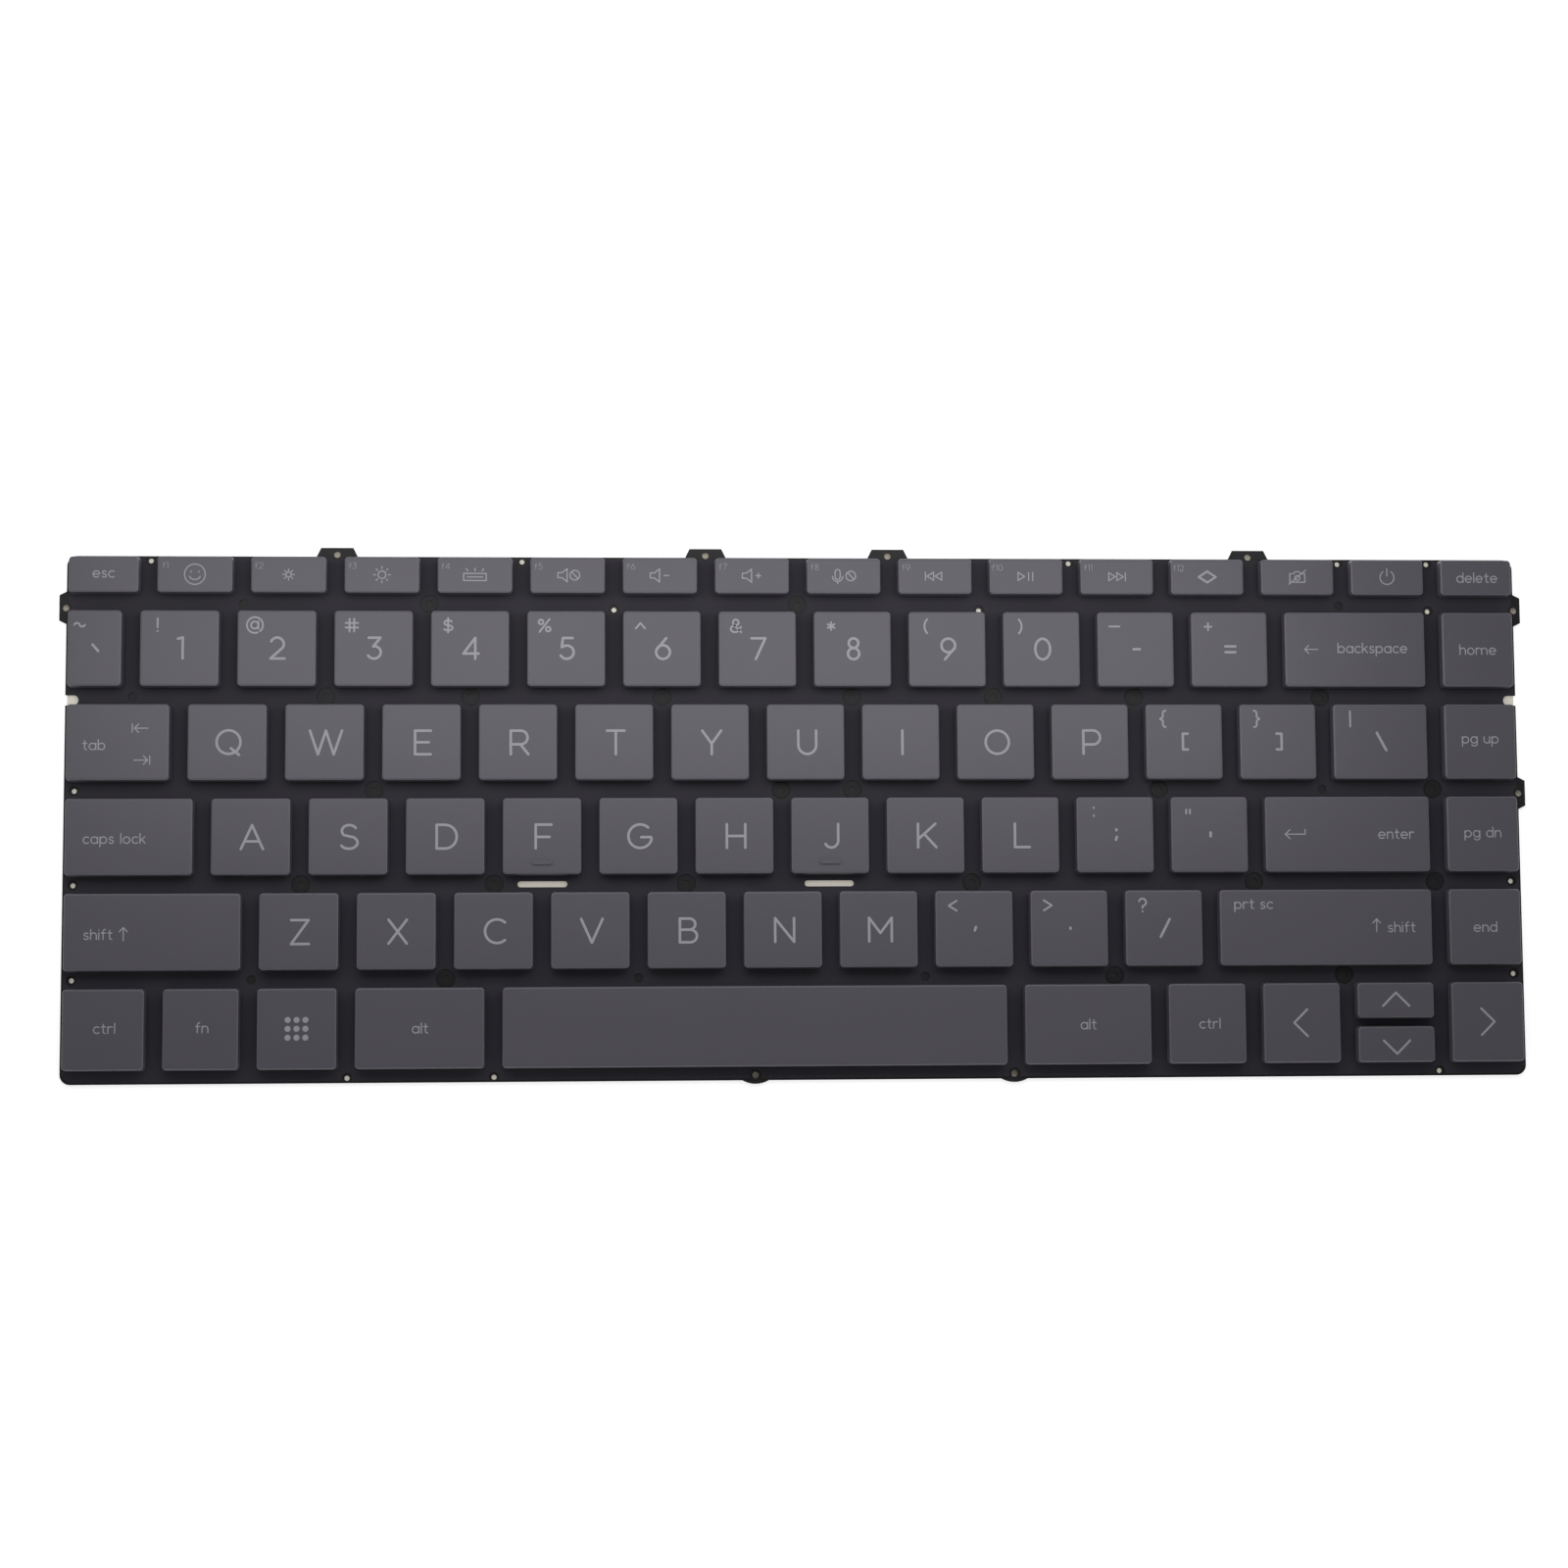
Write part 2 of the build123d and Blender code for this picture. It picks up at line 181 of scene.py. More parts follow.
def patches(tree, colour, size, spread):
    """A colour that gets lighter and darker by the spread over patches of that size in millimetres."""
    place = add(tree, "ShaderNodeTexCoord", {}).outputs["Object"]
    noise = add(tree, "ShaderNodeTexNoise", {"Vector": place, "Scale": 1 / (size * MM), "Detail": 2.0})
    shade = add(tree, "ShaderNodeMapRange", {
        "Value": noise.outputs["Fac"], "To Min": 1 - spread, "To Max": 1 + spread})
    tint = add(tree, "ShaderNodeVectorMath", {0: colour, "Scale": shade.outputs["Result"]}, operation="SCALE")
    return tint.outputs["Vector"]


def two_tones(tree, share, low, high):
    """One colour where the share is 0 and another where it is 1."""
    mix = add(tree, "ShaderNodeMix", {"Factor": share, "A": linear(low), "B": linear(high)}, data_type="RGBA")
    return mix.outputs["Result"]


def above(tree, level):
    """1 above a level in millimetres and 0 below it."""
    place = add(tree, "ShaderNodeTexCoord", {}).outputs["Object"]
    height = add(tree, "ShaderNodeSeparateXYZ", {"Vector": place}).outputs["Z"]
    return add(tree, "ShaderNodeMath", {0: height, 1: level * MM}, operation="GREATER_THAN").outputs["Value"]


def rounding(tree):
    """1 on the rounded edge between a flat top and an upright wall, and 0 on both of them."""
    normal = add(tree, "ShaderNodeNewGeometry", {}).outputs["Normal"]
    rise = add(tree, "ShaderNodeSeparateXYZ", {"Vector": normal}).outputs["Z"]
    shares = []
    for start, full in (RIM_FROM_TOP, RIM_FROM_WALL):
        ramp = add(tree, "ShaderNodeMapRange", {"Value": rise, "From Min": start, "From Max": full})
        shares.append(ramp.outputs["Result"])
    return add(tree, "ShaderNodeMath", {0: shares[0], 1: shares[1]}, operation="MULTIPLY").outputs["Value"]


def soft_touch_paint():
    """Soft-touch paint on moulded ABS: dark grey with a faint violet cast, its highlights broken up into
    a sheen, with a painted highlight along the rims: a lighter grey where the rounded edges catch the light."""
    material, tree = new_material("soft_touch_paint_on_moulded_abs")
    # Painted highlight: the rounded rims get a lighter grey
    colour = two_tones(tree, rounding(tree), CAP_GREY, CAP_RIM_HIGHLIGHT_GREY)
    close(tree, Base_Color=patches(tree, colour, size=20, spread=0.04), Roughness=0.36,
          Normal=grain(tree, size=0.12, depth=0.004))
    return material


def etched_legend():
    """Clear ABS bared by a laser: light grey marks, flat and a little milky."""
    material, tree = new_material("laser_etched_legend_in_clear_abs")
    close(tree, Base_Color=linear(LEGEND_GREY), Roughness=0.6, Normal=grain(tree, size=0.1, depth=0.002))
    return material


def printed_film():
    """Polyester film printed black: flat and without sheen, which keeps the gaps between the caps dark."""
    material, tree = new_material("black_print_on_polyester_film")
    colour = patches(tree, linear(FILM_BLACK)[:3], size=20, spread=0.08)
    close(tree, Base_Color=colour, Roughness=0.8, Specular_IOR_Level=0.15,
          Normal=grain(tree, size=0.3, depth=0.003))
    return material


def dip_coat():
    """Stamped steel with a black dip coat: satin and slightly wavy, a shade darker on the stakes' heads."""
    material, tree = new_material("black_dip_coat_on_stamped_steel")
    colour = two_tones(tree, above(tree, (film_bottom + stake_top) / 2), PLATE_BLACK, STAKE_BLACK)
    close(tree, Base_Color=colour, Roughness=0.5, Specular_IOR_Level=0.3,
          Normal=grain(tree, size=0.6, depth=0.006))
    return material


def light_guide():
    """An acrylic light guide on black film: cream from above, with a faint painted glow on its cream face,
    painted light that keeps the slots and holes over it bright."""
    material, tree = new_material("cream_acrylic_guide_on_black_film")
    is_upper = above(tree, guide_top - GUIDE_SKIN)
    close(tree, Base_Color=two_tones(tree, is_upper, BACKING_BLACK, GUIDE_CREAM), Roughness=0.5,
          Normal=grain(tree, size=0.4, depth=0.002),
          # Painted glow: the cream face gives off a little light of its own, though the guide is no lamp
          Emission_Color=two_tones(tree, is_upper, "000000", GUIDE_CREAM), Emission_Strength=0.25)
    return material


def moulded_acetal():
    """Black acetal with the plain satin of a polished mould."""
    material, tree = new_material("black_moulded_acetal")
    close(tree, Base_Color=linear(LEVER_BLACK), Roughness=0.4, Normal=grain(tree, size=0.25, depth=0.002))
    return material


def pressed_silicone():
    """Milky silicone rubber, soft and without gloss."""
    material, tree = new_material("milky_pressed_silicone")
    close(tree, Base_Color=linear(DOME_MILK), Roughness=0.7, Normal=grain(tree, size=0.4, depth=0.004))
    return material


def drawn_wire():
    """Bright steel wire: fine marks of the drawing die break up its highlights."""
    material, tree = new_material("drawn_steel_wire")
    close(tree, Base_Color=linear(WIRE_STEEL), Metallic=1.0, Roughness=0.3,
          Normal=grain(tree, size=0.08, depth=0.002))
    return material


cap_paint = soft_touch_paint()
etched = etched_legend()
silicone = pressed_silicone()
acetal = moulded_acetal()
steel = drawn_wire()


def finish_nodes():
    """Every CAD node gets the finish of its real material."""
    finishes = {"base_plate": dip_coat(), "membrane": printed_film(), "backlight_panel": light_guide(),
                "rubber_domes": silicone, "scissor_levers": acetal, "stabilizer_bars": steel}
    for name, node in frame["nodes"].items():
        node.data.materials.clear()
        node.data.materials.append(finishes.get(name, cap_paint))


def new_piece(name, mesh, body, materials):
    """A mesh as a piece that rides on a body, with its finishes."""
    piece = bpy.data.objects.new(name, mesh)
    bpy.context.scene.collection.objects.link(piece)
    for material in materials:
        mesh.materials.append(material)
    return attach(piece, body)


def islands(node):
    """The separate solids of a CAD node, each as its points and its faces."""
    work = bmesh.new()
    work.from_mesh(frame["nodes"][node].data)
    bmesh.ops.remove_doubles(work, verts=work.verts, dist=WELD_DISTANCE)
    done = set()
    found = []
    for first in work.verts:
        if first in done:
            continue
        group = {first: 0}
        queue = [first]
        while queue:
            for edge in queue.pop().link_edges:
                for vert in edge.verts:
                    if vert not in group:
                        group[vert] = len(group)
                        queue.append(vert)
        done.update(group)
        faces = dict.fromkeys(face for vert in group for face in vert.link_faces)
        found.append(([vert.co.copy() for vert in group],
                      [[group[vert] for vert in face.verts] for face in faces]))
    work.free()
    return found


def box_of(points):
    """(left, right, front, back) of some points, in millimetres."""
    xs = [point.x / MM for point in points]
    ys = [point.y / MM for point in points]
    return min(xs), max(xs), min(ys), max(ys)


def middle_of(box):
    """The x and y of the middle of a box."""
    return (box[0] + box[1]) / 2, (box[2] + box[3]) / 2


def find_caps():
    """The outline of every cap by key name; the upper rows are told apart by row and then by place."""
    caps = {name.removeprefix("key_"): box_of(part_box(name)) for name in cap_names}
    upper = [box_of(points) for points, faces in islands("upper_row_keys")]
    lowest_function = max(box[2] for box in upper) - ROW_SLACK
    function = sorted(box for box in upper if box[2] > lowest_function)
    number = sorted(box for box in upper if box[2] <= lowest_function)
    names = ["escape"] + [f"f{n}" for n in range(1, 13)] + ["camera", "power", "delete"]
    caps.update(zip(names, function))
    names = ["grave"] + [f"digit_{n}" for n in "1234567890"] + ["minus", "equals", "backspace", "home"]
    caps.update(zip(names, number))
    return caps


def key_under(caps, points):
    """The moving key whose cap covers the middle of some points, or None."""
    x, y = middle_of(box_of(points))
    for name in cap_names:
        left, right, front, back = caps[name.removeprefix("key_")]
        if left < x < right and front < y < back:
            return name
    return None


def build_switches(caps):
    """Domes, levers and wires, split up key by key into one piece per key, each riding on the frame."""
    kinds = {"rubber_domes": silicone, "scissor_levers": acetal, "stabilizer_bars": steel}
    lots = {}
    for index, node in enumerate(kinds):
        for points, faces in islands(node):
            lots.setdefault(key_under(caps, points), []).append((index, points, faces))
    for key, lot in lots.items():
        points, faces, slots = [], [], []
        for index, own_points, own_faces in lot:
            faces += [[len(points) + corner for corner in face] for face in own_faces]
            slots += [index] * len(own_faces)
            points += own_points
        mesh = bpy.data.meshes.new("switch")
        mesh.from_pydata(points, [], faces)
        mesh.polygons.foreach_set("material_index", slots)
        mesh.polygons.foreach_set("use_smooth", [True] * len(faces))
        mesh.set_sharp_from_angle(angle=math.radians(SMOOTH_TURN))
        name = f"switch_{key.removeprefix('key_') if key else 'upper_rows'}"
        piece = new_piece(name, mesh, "frame", kinds.values())
        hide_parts(*[node for index, node in enumerate(kinds) if index in slots])
        if key:
            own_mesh(piece)


def arc(x, y, wide, high, start, end):
    """Points on an ellipse around (x, y) from one angle to another, in degrees."""
    steps = max(2, round(abs(end - start) / ARC_STEP))
    angles = [math.radians(start + (end - start) * i / steps) for i in range(steps + 1)]
    return [(x + wide * math.cos(a), y + high * math.sin(a)) for a in angles]


def ring(x, y, radius):
    """A round closed stroke that starts at its top."""
    return arc(x, y, radius, radius, 90, 450)


# Signs as strokes: capitals and digits are 1 high, small letters have bowls 0.66 high
BOWL = ring(0.33, 0.33, 0.33)
ARCH = arc(0.29, 0.37, 0.29, 0.29, 180, 0)
GLYPHS = {
    "A": [[(0, 0), (0.46, 1), (0.92, 0)], [(0.17, 0.32), (0.75, 0.32)]],
    "B": [[(0, 0.53), (0, 1)] + arc(0.4, 0.765, 0.25, 0.235, 90, -90) + [(0, 0.53)],
          [(0, 0.53)] + arc(0.44, 0.265, 0.28, 0.265, 90, -90) + [(0, 0), (0, 0.53)]],
    "C": [arc(0.5, 0.5, 0.5, 0.5, 48, 312)],
    "D": [[(0, 0), (0, 1)] + arc(0.36, 0.5, 0.48, 0.5, 90, -90) + [(0, 0)]],
    "E": [[(0.66, 1), (0, 1), (0, 0), (0.66, 0)], [(0, 0.51), (0.58, 0.51)]],
    "F": [[(0.66, 1), (0, 1), (0, 0)], [(0, 0.48), (0.58, 0.48)]],
    "G": [arc(0.5, 0.5, 0.5, 0.5, 48, 345) + [(0.96, 0.46), (0.54, 0.46)]],
    "H": [[(0, 0), (0, 1)], [(0.78, 0), (0.78, 1)], [(0, 0.5), (0.78, 0.5)]],
    "I": [[(0, 0), (0, 1)]],
    "J": [[(0.58, 1), (0.58, 0.3)] + arc(0.29, 0.3, 0.29, 0.3, 0, -150)],
    "K": [[(0, 0), (0, 1)], [(0.74, 1), (0, 0.34)], [(0.26, 0.57), (0.78, 0)]],
    "L": [[(0, 1), (0, 0), (0.62, 0)]],
    "M": [[(0, 0), (0, 1), (0.48, 0.36), (0.96, 1), (0.96, 0)]],
    "N": [[(0, 0), (0, 1), (0.8, 0), (0.8, 1)]],
    "O": [ring(0.5, 0.5, 0.5)],
    "P": [[(0, 0), (0, 1)] + arc(0.42, 0.7, 0.3, 0.3, 90, -90) + [(0, 0.4)]],
    "Q": [ring(0.5, 0.5, 0.5), [(0.6, 0.24), (0.94, -0.04)]],
    "R": [[(0, 0), (0, 1)] + arc(0.42, 0.71, 0.29, 0.29, 90, -90) + [(0, 0.42)], [(0.4, 0.42), (0.74, 0)]],
    "S": [arc(0.37, 0.75, 0.31, 0.25, 30, 225) + arc(0.36, 0.26, 0.36, 0.26, 60, -150)],
    "T": [[(0, 1), (0.74, 1)], [(0.37, 1), (0.37, 0)]],
    "U": [[(0, 1), (0, 0.38)] + arc(0.38, 0.38, 0.38, 0.38, 180, 360) + [(0.76, 1)]],
    "V": [[(0, 1), (0.45, 0), (0.9, 1)]],
    "W": [[(0, 1), (0.34, 0), (0.67, 1), (1, 0), (1.34, 1)]],
    "X": [[(0, 0), (0.76, 1)], [(0, 1), (0.76, 0)]],
    "Y": [[(0, 1), (0.4, 0.44), (0.8, 1)], [(0.4, 0.44), (0.4, 0)]],
    "Z": [[(0, 1), (0.72, 1), (0, 0), (0.74, 0)]],
    "0": [arc(0.36, 0.5, 0.36, 0.5, 90, 450)],
    "1": [[(0, 0.94), (0.22, 1), (0.22, 0)]],
    "2": [arc(0.33, 0.69, 0.31, 0.31, 155, -35) + [(0.02, 0), (0.68, 0)]],
    "3": [[(0.05, 1), (0.6, 1), (0.26, 0.58)] + arc(0.3, 0.3, 0.32, 0.3, 90, -150)],
    "4": [[(0.56, 0), (0.56, 1), (0, 0.25), (0.72, 0.25)]],
    "5": [[(0.6, 1), (0.14, 1), (0.08, 0.56)] + arc(0.32, 0.32, 0.33, 0.32, 120, -150)],
    "6": [[(0.5, 1), (0.09, 0.5)], ring(0.35, 0.33, 0.33)],
    "7": [[(0, 1), (0.66, 1), (0.2, 0)]],
    "8": [ring(0.35, 0.26, 0.27), ring(0.35, 0.77, 0.23)],
    "9": [[(0.18, 0), (0.6, 0.5)], ring(0.34, 0.67, 0.33)],
    "`": [[(0, 0.3), (0.26, 0)]],
    "~": [arc(0.2, 0, 0.2, 0.14, 180, 20) + arc(0.6, 0, 0.2, 0.14, 200, 360)],
    "!": [[(0, 1), (0, 0.32)], [(0, 0.04), (0, 0)]],
    "@": [arc(0.62, 0.5, 0.62, 0.62, -50, 290), ring(0.6, 0.5, 0.28), [(0.88, 0.78), (0.88, 0.22)]],
    "#": [[(0.3, 0), (0.3, 1)], [(0.66, 0), (0.66, 1)], [(0, 0.32), (0.96, 0.32)], [(0, 0.68), (0.96, 0.68)]],
    "$": [arc(0.37, 0.7, 0.3, 0.2, 30, 225) + arc(0.36, 0.3, 0.34, 0.2, 60, -150),
          [(0.36, 1.06), (0.36, -0.06)]],
    "%": [[(0.06, 0), (0.84, 1)], ring(0.18, 0.78, 0.18), ring(0.74, 0.22, 0.18)],
    "^": [[(0, 0), (0.36, 0.42), (0.72, 0)]],
    "&": [[(0.82, 0)] + arc(0.4, 0.76, 0.22, 0.24, 215, -40) + arc(0.34, 0.26, 0.34, 0.26, 120, 330)
          + [(0.8, 0.42)]],
    "*": [[(0, 0.3), (0, -0.3)], [(-0.26, 0.15), (0.26, -0.15)], [(-0.26, -0.15), (0.26, 0.15)]],
    "(": [arc(0.6, 0.5, 0.6, 0.72, 130, 230)],
    ")": [arc(0, 0.5, 0.6, 0.72, 50, -50)],
    "_": [[(0, 0), (0.8, 0)]],
    "-": [[(0, 0), (0.3, 0)]],
    "+": [[(0, 0), (0.56, 0)], [(0.28, 0.28), (0.28, -0.28)]],
    "=": [[(0, 0.28), (0.48, 0.28)], [(0, 0), (0.48, 0)]],
    "{": [arc(0.5, 0.95, 0.22, 0.2, 90, 180) + [(0.28, 0.64), (0.06, 0.5), (0.28, 0.36)]
          + arc(0.5, 0.05, 0.22, 0.2, 180, 270)],
    "}": [arc(0, 0.95, 0.22, 0.2, 90, 0) + [(0.22, 0.64), (0.44, 0.5), (0.22, 0.36)]
          + arc(0, 0.05, 0.22, 0.2, 0, -90)],
    "[": [[(0.24, 0.76), (0, 0.76), (0, 0), (0.24, 0)]],
    "]": [[(0, 0.76), (0.24, 0.76), (0.24, 0), (0, 0)]],
    "|": [[(0, 1.1), (0, -0.1)]],
    "\\": [[(0, 0.84), (0.44, 0)]],
    "/": [[(0, 0), (0.44, 0.84)]],
    ":": [[(0, 0.62), (0, 0.66)], [(0, 0), (0, 0.04)]],
    ";": [[(0, 0.36), (0, 0.4)], [(0.02, 0.04), (-0.03, -0.1)]],
    "\"": [[(0, 0.3), (0, 0)], [(0.3, 0.3), (0.3, 0)]],
    "'": [[(0, 0.18), (0, 0)]],
    "<": [[(0.62, 0.78), (0, 0.39), (0.62, 0)]],
    ">": [[(0, 0.78), (0.62, 0.39), (0, 0)]],
    ",": [[(0.04, 0.1), (-0.02, -0.06)]],
    ".": [[(0, 0), (0, 0.04)]],
    "?": [arc(0.3, 0.72, 0.28, 0.28, 165, -60) + [(0.3, 0.42), (0.3, 0.28)], [(0.3, 0.02), (0.3, 0)]],
    "a": [BOWL, [(0.66, 0.66), (0.66, 0)]],
    "b": [[(0, 1), (0, 0)], BOWL],
    "c": [arc(0.33, 0.33, 0.33, 0.33, 50, 310)],
    "d": [BOWL, [(0.66, 1), (0.66, 0)]],
    "e": [[(0.02, 0.34)] + arc(0.33, 0.33, 0.33, 0.33, 0, 315)],
    "f": [arc(0.38, 0.8, 0.2, 0.2, 80, 180) + [(0.18, 0)], [(0, 0.64), (0.4, 0.64)]],
    "g": [BOWL, [(0.66, 0.66), (0.66, -0.06)] + arc(0.35, -0.06, 0.31, 0.24, 0, -150)],
    "h": [[(0, 1), (0, 0)], ARCH + [(0.58, 0)]],
    "i": [[(0, 0.66), (0, 0)], [(0, 0.95), (0, 0.93)]],
    "k": [[(0, 1), (0, 0)], [(0.48, 0.66), (0, 0.24)], [(0.18, 0.4), (0.52, 0)]],
    "l": [[(0, 1), (0, 0)]],
    "m": [[(0, 0.66), (0, 0)], ARCH + [(0.58, 0)], [(x + 0.58, y) for x, y in ARCH] + [(1.16, 0)]],
    "n": [[(0, 0.66), (0, 0)], ARCH + [(0.58, 0)]],
    "o": [BOWL],
    "p": [[(0, 0.66), (0, -0.32)], BOWL],
    "r": [[(0, 0.66), (0, 0)], arc(0.29, 0.37, 0.29, 0.29, 180, 60)],
    "s": [arc(0.23, 0.49, 0.19, 0.17, 30, 240) + arc(0.22, 0.17, 0.22, 0.17, 60, -150)],
    "t": [[(0.18, 0.92), (0.18, 0.18)] + arc(0.36, 0.18, 0.18, 0.18, 180, 280), [(0, 0.64), (0.4, 0.64)]],
    "u": [[(0, 0.66), (0, 0.29)] + arc(0.29, 0.29, 0.29, 0.29, 180, 360), [(0.58, 0.66), (0.58, 0)]],
}

# Pictures on keys, in strokes, in millimetres
SPEAKER = [[(-1.9, 0.5), (-1.9, -0.5), (-1.1, -0.5), (-0.1, -1.3), (-0.1, 1.3), (-1.1, 0.5), (-1.9, 0.5)]]
BARRED = [ring(1.4, 0, 0.95), [(0.75, 0.7), (2.05, -0.7)]]
SUN_RAYS = 8
RAY_LENGTH = 0.35
TRIANGLE = [(0, 0.8), (1.3, 0), (0, -0.8), (0, 0.8)]


def sun(core, reach):
    """A ring with rays around it."""
    strokes = [ring(0, 0, core)]
    for turn in range(SUN_RAYS):
        angle = 2 * math.pi * turn / SUN_RAYS
        strokes.append([(r * math.cos(angle), r * math.sin(angle)) for r in (reach - RAY_LENGTH, reach)])
    return strokes


def moved(strokes, x, y=0.0, flip=1):
    """Strokes moved by x and y, and mirrored left to right first where flip is -1."""
    return [[(flip * px + x, py + y) for px, py in stroke] for stroke in strokes]


PICTURES = {
    "f1": [ring(0, 0, 2.0), [(-0.75, 0.6), (-0.75, 0.4)], [(0.75, 0.6), (0.75, 0.4)],
           arc(0, -0.1, 1.1, 0.95, 200, 340)],
    "f2": sun(0.5, 1.1),
    "f3": sun(0.75, 1.6),
    "f4": [[(-2.2, -1.1), (2.2, -1.1), (2.2, 0.3), (-2.2, 0.3), (-2.2, -1.1)], [(-1.5, -0.4), (1.5, -0.4)],
           [(-1.4, 0.8), (-1.7, 1.2)], [(0, 0.8), (0, 1.3)], [(1.4, 0.8), (1.7, 1.2)]],
    "f5": SPEAKER + BARRED,
    "f6": SPEAKER + [[(0.8, 0), (1.7, 0)]],
    "f7": SPEAKER + [[(0.8, 0), (1.7, 0)], [(1.25, 0.45), (1.25, -0.45)]],
    "f8": [arc(-1.2, 0.7, 0.5, 0.6, 0, 180) + arc(-1.2, -0.1, 0.5, 0.6, 180, 360) + [(-0.7, 0.7)],
           arc(-1.2, -0.1, 1.0, 1.0, 180, 360), [(-1.2, -1.1), (-1.2, -1.5)]] + BARRED,
    "f9": [[(-1.9, 0.8), (-1.9, -0.8)]] + moved([TRIANGLE], -0.3, 0, -1) + moved([TRIANGLE], 1.3, 0, -1),
    "f10": moved([TRIANGLE], -1.6) + [[(0.5, 0.8), (0.5, -0.8)], [(1.3, 0.8), (1.3, -0.8)]],
    "f11": moved([TRIANGLE], -1.6) + moved([TRIANGLE], 0.0) + [[(1.7, 0.8), (1.7, -0.8)]],
    "camera": [[(-1.5, -1.0), (1.5, -1.0), (1.5, 0.7), (0.7, 0.7), (0.4, 1.1), (-0.4, 1.1), (-0.7, 0.7),
                (-1.5, 0.7), (-1.5, -1.0)], ring(0, -0.15, 0.5), [(-1.7, -1.4), (1.7, 1.4)]],
    "power": [arc(0, 0, 1.4, 1.4, 125, 415), [(0, 1.7), (0, 0.3)]],
}
ARROW = [[(1.3, 0), (-1.3, 0)], [(-0.5, 0.8), (-1.3, 0), (-0.5, -0.8)]]
RETURN = [[(2.0, 0.9), (2.0, 0), (-2.0, 0)], [(-1.0, 0.9), (-2.0, 0), (-1.0, -0.9)]]
UP = [[(0, 1.3), (0, -1.2)], [(-0.75, 0.5), (0, 1.3), (0.75, 0.5)]]
TAB = ARROW + [[(-1.7, 0.8), (-1.7, -0.8)]]
DIAMOND = [[(-1.7, 0), (0, 1.1), (1.7, 0), (0, -1.1), (-1.7, 0)]]
CHEVRON = [[(1.3, 2.6), (-1.3, 0), (1.3, -2.6)]]
ROOF = [[(-2.6, -1.3), (0, 1.3), (2.6, -1.3)]]
GRID_STEPS = (-1.7, 0, 1.7)
GRID = [[(x, y), (x + DOT_LENGTH, y)] for x in GRID_STEPS for y in GRID_STEPS]
GRID_STROKE = 1.15
CHEVRON_STROKE = 0.42

TWO_SIGNS = {
    "grave": "`~", "digit_1": "1!", "digit_2": "2@", "digit_3": "3#", "digit_4": "4$", "digit_5": "5%",
    "digit_6": "6^", "digit_7": "7&", "digit_8": "8*", "digit_9": "9(", "digit_0": "0)", "minus": "-_",
    "equals": "=+", "left_bracket": "[{", "right_bracket": "]}", "backslash": "\\|", "semicolon": ";:",
    "apostrophe": "'\"", "comma": ",<", "period": ".>", "slash": "/?",
}
WORDS = {
    "escape": [("esc", 0, 0)], "delete": [("delete", 0.2, 0)], "backspace": [("backspace", 3.5, 0)],
    "home": [("home", 0, 0)], "tab": [("tab", -4.5, -0.5)], "page_up": [("pg up", 0, 0)],
    "caps_lock": [("caps lock", -2.7, -0.6)], "enter": [("enter", 9.7, 0)], "page_down": [("pg dn", 0, 0)],
    "left_shift": [("shift", -10.2, -0.4)], "right_shift": [("prt sc", -14.4, 4.3), ("shift", 15.0, 0)],
    "end": [("end", 0, 0)], "left_control": [("ctrl", 0.3, 0.3)], "fn": [("fn", 0.3, 0.3)],
    "left_alt": [("alt", 0.1, 0)], "right_alt": [("alt", 0, 0)], "right_control": [("ctrl", 0.4, 0)],
}
DRAWN = {
    "backspace": [(ARROW, -8.8, 0, WORD_STROKE)], "enter": [(RETURN, -10.5, 0, WORD_STROKE)],
    "left_shift": [(UP, -5.4, -0.4, WORD_STROKE)], "right_shift": [(UP, 10.0, 0.3, WORD_STROKE)],
    "tab": [(TAB, 4.5, 2.7, WORD_STROKE), (moved(TAB, 0, 0, -1), 4.5, -3.5, WORD_STROKE)],
    "system": [(GRID, 0, 0, GRID_STROKE)], "f12": [(DIAMOND, 0, 0, CHEVRON_STROKE)],
    "arrow_left": [(CHEVRON, -0.3, 0, CHEVRON_STROKE)],
    "arrow_right": [(moved(CHEVRON, 0, 0, -1), 0, 0, CHEVRON_STROKE)],
    "arrow_up": [(ROOF, 0, 0.2, CHEVRON_STROKE)],
    "arrow_down": [([[(x, -y) for x, y in ROOF[0]]], 0, -0.6, CHEVRON_STROKE)],
}


def text(words, height):
    """The strokes of a line of text, around the middle of its own box."""
    strokes = []
    x = 0.0
    for sign in words:
        if sign == " ":
            x += WORD_SPACE
            continue
        strokes += moved(GLYPHS[sign], x)
        x = max(px for stroke in strokes for px, py in stroke) + LETTER_SPACE
    xs = [px for stroke in strokes for px, py in stroke]
    ys = [py for stroke in strokes for px, py in stroke]
    x, y = (min(xs) + max(xs)) / 2, (min(ys) + max(ys)) / 2
    return [[((px - x) * height, (py - y) * height) for px, py in stroke] for stroke in strokes]


def legend(key, width):
    """The marks on a cap of that width: (strokes, x, y, stroke width) from its middle."""
    marks = []
    if len(key) == 1:
        marks.append((text(key.upper(), LETTER_HEIGHT), *LETTER_PLACE, LETTER_STROKE))
    if key in TWO_SIGNS:
        low, high = TWO_SIGNS[key]
        marks.append((text(low, DIGIT_HEIGHT), *DIGIT_PLACE, LETTER_STROKE))
        inset = min(SHIFTED_INSET, SHIFTED_INSET_SHARE * width)
        marks.append((text(high, SHIFTED_HEIGHT), inset - width / 2, SHIFTED_LIFT, SHIFTED_STROKE))
    for words, x, y in WORDS.get(key, []):
        marks.append((text(words, WORD_HEIGHT), x, y, WORD_STROKE))
    if key in PICTURES:
        marks.append((PICTURES[key], 0, 0, WORD_STROKE))
    if key[0] == "f" and key[1:].isdigit():
        marks.append((text(key, CORNER_HEIGHT), *CORNER_PLACE, CORNER_STROKE))
    return marks + DRAWN.get(key, [])


